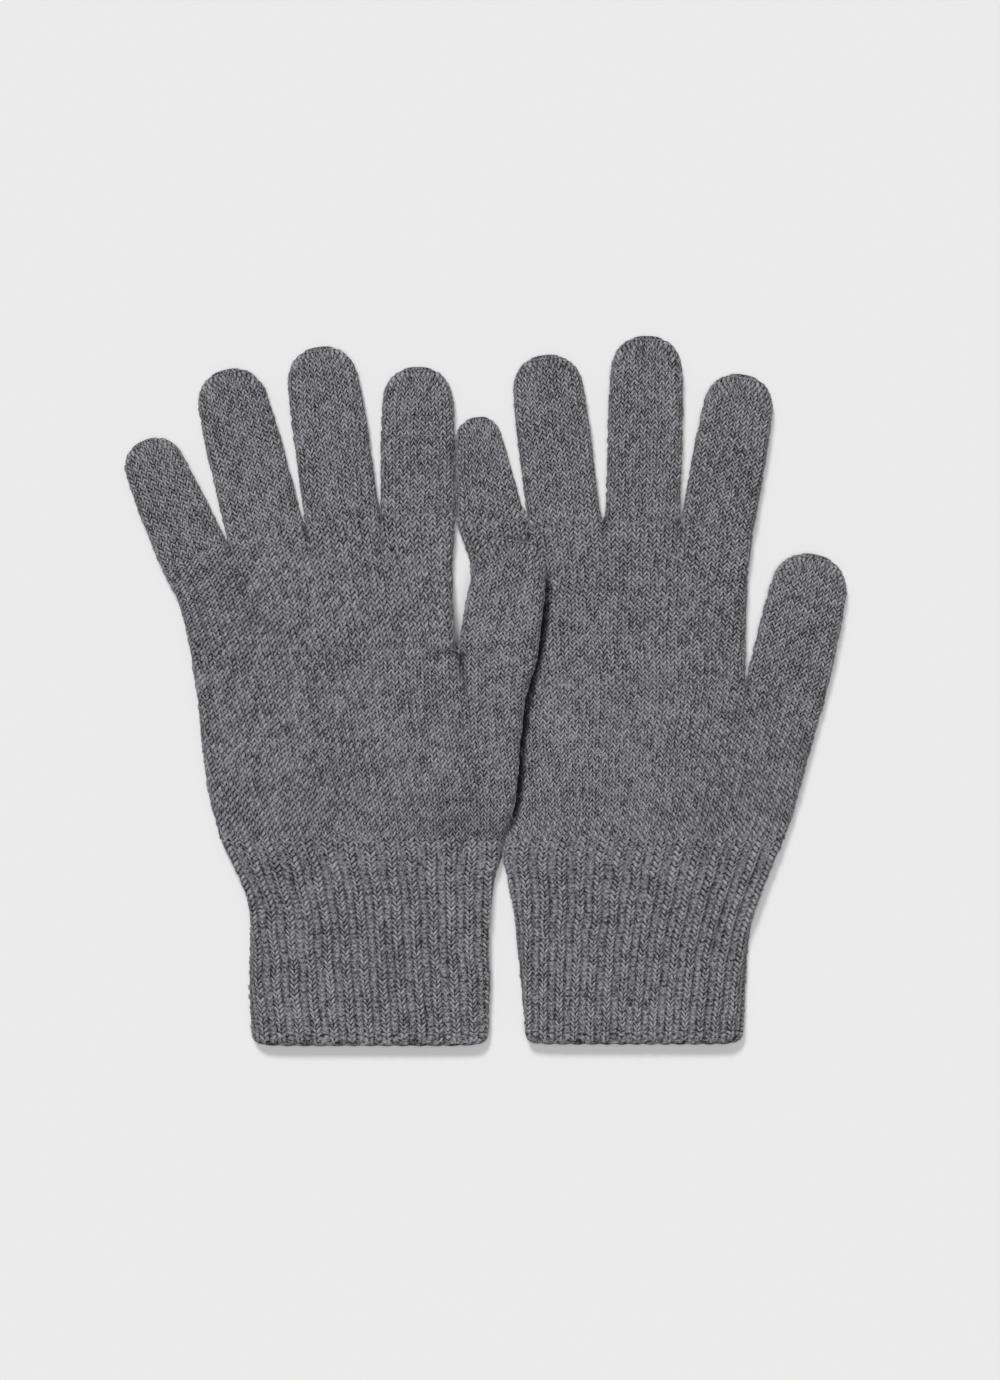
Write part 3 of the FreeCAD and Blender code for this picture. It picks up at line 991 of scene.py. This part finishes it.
def yarn_strand(points):
    """Rows of a two-ply yarn that follows the points."""
    points = np.asarray(points)
    t = np.linspace(0, len(points) - 1, YARN_STEPS)
    path = np.stack([np.interp(t, np.arange(len(points)), points[:, k]) for k in range(3)], axis=-1)
    path = np.stack([soften(path[:, k], YARN_SOFT_REACH) for k in range(3)], axis=-1)
    way = np.gradient(path, axis=0)
    way /= np.linalg.norm(way, axis=1)[:, None]
    aside = np.cross(way, [0, 0, 1.0])
    aside /= np.linalg.norm(aside, axis=1)[:, None]
    up = np.cross(aside, way)
    angle = np.linspace(0, 2 * math.pi, YARN_SIDES, endpoint=False)[None, :]
    roll = np.linspace(0, YARN_TURNS * 2 * math.pi, YARN_STEPS)[:, None]
    from_middle = np.abs(np.linspace(-1, 1, YARN_STEPS))[:, None]
    ends = np.sqrt(np.clip(1 - from_middle ** YARN_END_CURVE, YARN_END_LEAST, 1))
    plies = np.abs(np.cos((angle - roll) * YARN_PLIES / 2))
    size = YARN * (1 - YARN_WAIST + YARN_WAIST * plies) * ends
    return (path[:, None, :] + aside[:, None, :] * (np.cos(angle) * size)[..., None]
            + up[:, None, :] * (np.sin(angle) * size)[..., None])


def make_fork(side, first, second, spot, way):
    """Darned yarn that closes the hole where two fingers part."""
    node = side + "_fork_" + first + "_" + second
    low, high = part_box(node)
    centre = np.array([(low[0] + high[0]) / 2, (low[1] + high[1]) / 2])
    across = np.array([-way[1], way[0]])
    root = low[2] - YARN_ROOT
    pieces = []
    for k, (x0, y0, x1, y1) in enumerate(YARN_ENDS):
        a = centre + (across * x0 + way * y0) * MM
        b = centre + (across * x1 + way * y1) * MM
        lift = YARN_LIFT[0] + YARN_LIFT[1] * k
        dip = low[2] - YARN_DIP + lift / 2
        near_a = a * (1 - YARN_RISE) + b * YARN_RISE
        near_b = a * YARN_RISE + b * (1 - YARN_RISE)
        strand = yarn_strand([(*a, root), (*near_a, dip), (*((a + b) / 2), low[2] + lift),
                              (*near_b, dip), (*b, root)])
        tone = np.full(strand.shape[:2], rng.normal())
        # an even level of painted light along the yarn
        painted_light = np.full(strand.shape[:2], YARN_PAINTED_LIGHT)
        pieces.append(grid_mesh(node + "_strand", strand[:, ::-1], tone, painted_light))
    with bpy.context.temp_override(active_object=pieces[0], selected_editable_objects=pieces):
        bpy.ops.object.join()
    piece = pieces[0]
    piece.name = side + "_darned_" + first + "_" + second
    piece.data.materials.append(yarn_wool)
    finish(piece, side + "_hand", [node])


def make_glove(side):
    make_welt(side)
    make_cuff(side)
    make_lower_hand(side)
    make_upper_hand(side)
    for finger in FINGERS:
        make_finger(side, finger)
        make_tip(side, finger)
    for fork in fork_places(side):
        make_fork(side, *fork)


for glove_side in ("right", "left"):
    make_glove(glove_side)


# ---------------------------------------------------------------- floor, light and camera

def make_floor():
    mesh = bpy.data.meshes.new("floor")
    half = FLOOR_SIZE / 2
    mesh.from_pydata([(-half, -half, 0), (half, -half, 0), (half, half, 0), (-half, half, 0)],
                     [], [(0, 1, 2, 3)])
    floor = bpy.data.objects.new("floor", mesh)
    bpy.context.scene.collection.objects.link(floor)
    material = bpy.data.materials.new("pale_floor")
    material.use_nodes = True
    shader = material.node_tree.nodes["Principled BSDF"]
    shader.inputs["Base Color"].default_value = FLOOR_COLOUR
    shader.inputs["Roughness"].default_value = 1.0
    shader.inputs["Specular IOR Level"].default_value = 0.0
    mesh.materials.append(material)


def make_light():
    world = bpy.data.worlds.new("studio")
    bpy.context.scene.world = world
    world.use_nodes = True
    world.node_tree.nodes["Background"].inputs["Color"].default_value = (1.0, 1.0, 1.0, 1.0)
    world.node_tree.nodes["Background"].inputs["Strength"].default_value = SKY_STRENGTH
    for name, strength, softness, tilt, turn in (
            ("key", KEY_STRENGTH, KEY_SOFTNESS, -KEY_OFF_VERTICAL, KEY_TOWARDS_LEFT),
            ("overhead", TOP_STRENGTH, TOP_SOFTNESS, 0.0, 0.0)):
        lamp = bpy.data.lights.new(name, "SUN")
        lamp.energy = strength
        lamp.angle = math.radians(softness)
        sun = bpy.data.objects.new(name, lamp)
        bpy.context.scene.collection.objects.link(sun)
        sun.rotation_euler = (math.radians(tilt), 0.0, math.radians(turn))


def make_camera():
    data = bpy.data.cameras.new("camera")
    data.lens = LENS
    data.sensor_width = SENSOR
    data.clip_end = VIEW_REACH
    camera = bpy.data.objects.new("camera", data)
    bpy.context.scene.collection.objects.link(camera)
    distance = VIEW_WIDTH * VIEW_ASPECT * LENS / SENSOR
    camera.location = (VIEW_CENTRE[0], VIEW_CENTRE[1], VIEW_LEVEL + distance)
    bpy.context.scene.camera = camera


make_floor()
make_light()
make_camera()
bpy.context.scene.view_settings.view_transform = "Standard"
